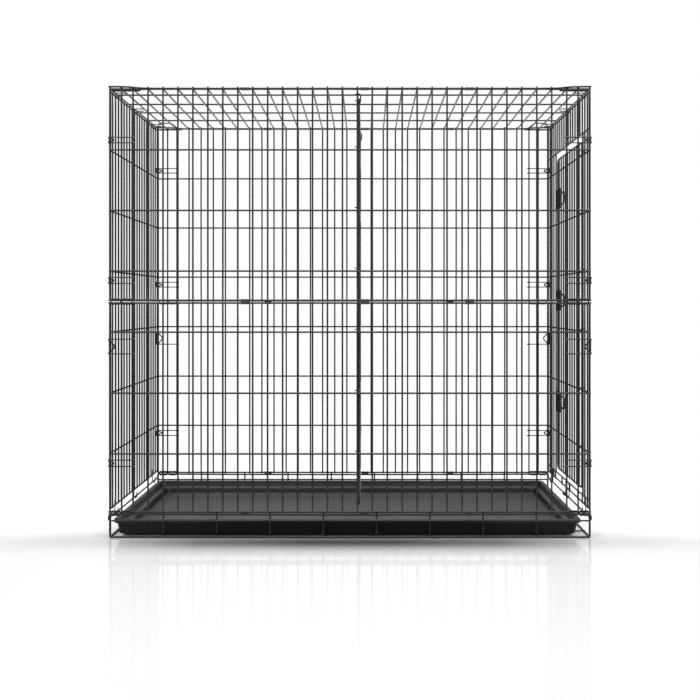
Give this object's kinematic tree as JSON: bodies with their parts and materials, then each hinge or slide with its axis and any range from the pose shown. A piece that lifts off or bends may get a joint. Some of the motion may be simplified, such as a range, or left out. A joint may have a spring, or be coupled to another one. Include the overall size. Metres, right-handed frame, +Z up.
{
  "type": "wire dog crate",
  "caption": "Tall wire dog crate with a full-height end door on slide bolts, a sliding floor tray, fold-in end panels and a divider panel.",
  "frame": {"origin": "on the ground, under the middle of the crate's floor", "axes": "+X along the crate towards the end with the door, +Y from the front long wall to the back one, +Z up"},
  "size_m": [1.2439, 0.7468, 1.1531],
  "materials": {
    "wire": "satin black electro-coat on steel wire",
    "clip": "satin black coat on crimped steel strip",
    "latch": "satin black coat on pressed steel",
    "tray": "fine-grained matt black moulded plastic"
  },
  "bodies": {
    "crate": {"floor_grid": "wire", "base_front": "wire", "base_back": "wire", "base_left": "wire", "base_right": "wire", "front_lower_panel": "wire", "front_upper_panel": "wire", "back_lower_panel": "wire", "back_upper_panel": "wire", "right_lower_panel": "wire", "right_upper_panel": "wire", "top_panel": "wire", "divider_panel": "wire", "clip_front_base_left": "clip", "clip_front_base_centre": "clip", "clip_front_base_right": "clip", "clip_front_middle_left": "clip", "clip_front_middle_centre": "clip", "clip_front_middle_right": "clip", "clip_front_top_left": "clip", "clip_front_top_centre": "clip", "clip_front_top_right": "clip", "clip_back_base_left": "clip", "clip_back_base_centre": "clip", "clip_back_base_right": "clip", "clip_back_middle_left": "clip", "clip_back_middle_centre": "clip", "clip_back_middle_right": "clip", "clip_back_top_left": "clip", "clip_back_top_centre": "clip", "clip_back_top_right": "clip", "latch_keeper_lower": "latch", "latch_keeper_middle": "latch", "latch_keeper_upper": "latch"},
    "left_lower_end": {"left_lower_panel": "wire"},
    "left_upper_end": {"left_upper_panel": "wire"},
    "tray": {"tray": "tray"},
    "pan_stop": {"pan_stop": "wire"},
    "door": {"door": "wire", "latch_guide_lower": "latch", "latch_guide_middle": "latch", "latch_guide_upper": "latch"},
    "bolt_lower": {"latch_bolt_lower": "latch"},
    "handle_lower": {"latch_handle_lower": "latch"},
    "bolt_middle": {"latch_bolt_middle": "latch"},
    "handle_middle": {"latch_handle_middle": "latch"},
    "bolt_upper": {"latch_bolt_upper": "latch"},
    "handle_upper": {"latch_handle_upper": "latch"}
  },
  "joints": [
    {"name": "door_hinge", "type": "hinge", "parent": "crate", "child": "door", "pos_m": [0.6096, -0.266, 0.565], "axis": [0, 0, -1], "range_deg": [0, 150]},
    {"name": "tray_slide", "type": "slide", "parent": "crate", "child": "tray", "axis": [1, 0, 0], "range_m": [0, 1.15]},
    {"name": "pan_stop_swivel", "type": "hinge", "parent": "crate", "child": "pan_stop", "pos_m": [0.6096, 0.03, 0.052], "axis": [0, -1, 0], "range_deg": [-180, 0]},
    {"name": "left_lower_fold", "type": "hinge", "parent": "crate", "child": "left_lower_end", "pos_m": [-0.6096, 0, 0.052], "axis": [0, 1, 0], "range_deg": [0, 90]},
    {"name": "left_upper_fold", "type": "hinge", "parent": "crate", "child": "left_upper_end", "pos_m": [-0.6096, 0, 1.1345], "axis": [0, -1, 0], "range_deg": [0, 90]},
    {"name": "bolt_lower_slide", "type": "slide", "parent": "door", "child": "bolt_lower", "axis": [0, 1, 0], "range_m": [0, 0.038]},
    {"name": "handle_lower_lift", "type": "hinge", "parent": "bolt_lower", "child": "handle_lower", "pos_m": [0.6255, 0.1, 0.304], "axis": [0, -1, 0], "range_deg": [0, 110]},
    {"name": "bolt_middle_slide", "type": "slide", "parent": "door", "child": "bolt_middle", "axis": [0, 1, 0], "range_m": [0, 0.038]},
    {"name": "handle_middle_lift", "type": "hinge", "parent": "bolt_middle", "child": "handle_middle", "pos_m": [0.6255, 0.1, 0.605], "axis": [0, -1, 0], "range_deg": [0, 110]},
    {"name": "bolt_upper_slide", "type": "slide", "parent": "door", "child": "bolt_upper", "axis": [0, 1, 0], "range_m": [0, 0.038]},
    {"name": "handle_upper_lift", "type": "hinge", "parent": "bolt_upper", "child": "handle_upper", "pos_m": [0.6255, 0.1, 0.906], "axis": [0, -1, 0], "range_deg": [0, 110]}
  ]
}
